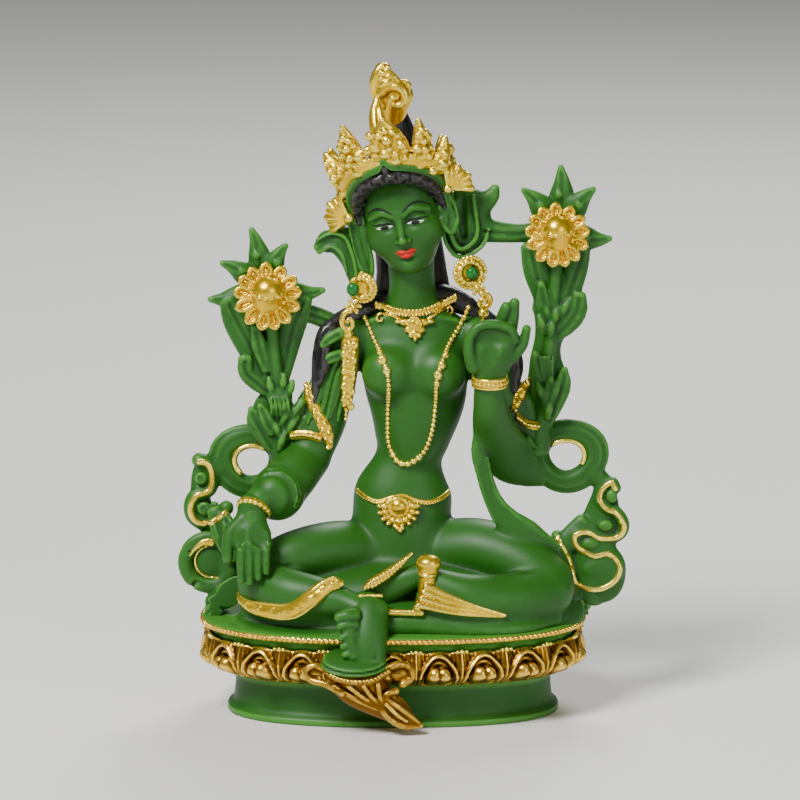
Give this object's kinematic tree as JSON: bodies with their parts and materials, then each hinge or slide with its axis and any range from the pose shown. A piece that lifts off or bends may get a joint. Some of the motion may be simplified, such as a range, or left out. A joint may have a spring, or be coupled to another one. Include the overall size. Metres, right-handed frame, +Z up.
{
  "type": "seated deity figurine",
  "caption": "Seated crowned figurine on an oval lotus plinth, one leg forward on a small lotus, between two flowers on stalks and curling scarves.",
  "frame": {"origin": "centre of the plinth's underside", "axes": "+Z up along the figure, the figure faces -Y, +X to the viewer's right"},
  "size_m": [0.1017, 0.062, 0.1499],
  "materials": {
    "green_paint": "satin green paint over cast resin, with gold paint on the ornaments and petals, black hair and red lips"
  },
  "bodies": {
    "root": {"tara_casting": "green_paint"}
  },
  "joints": []
}
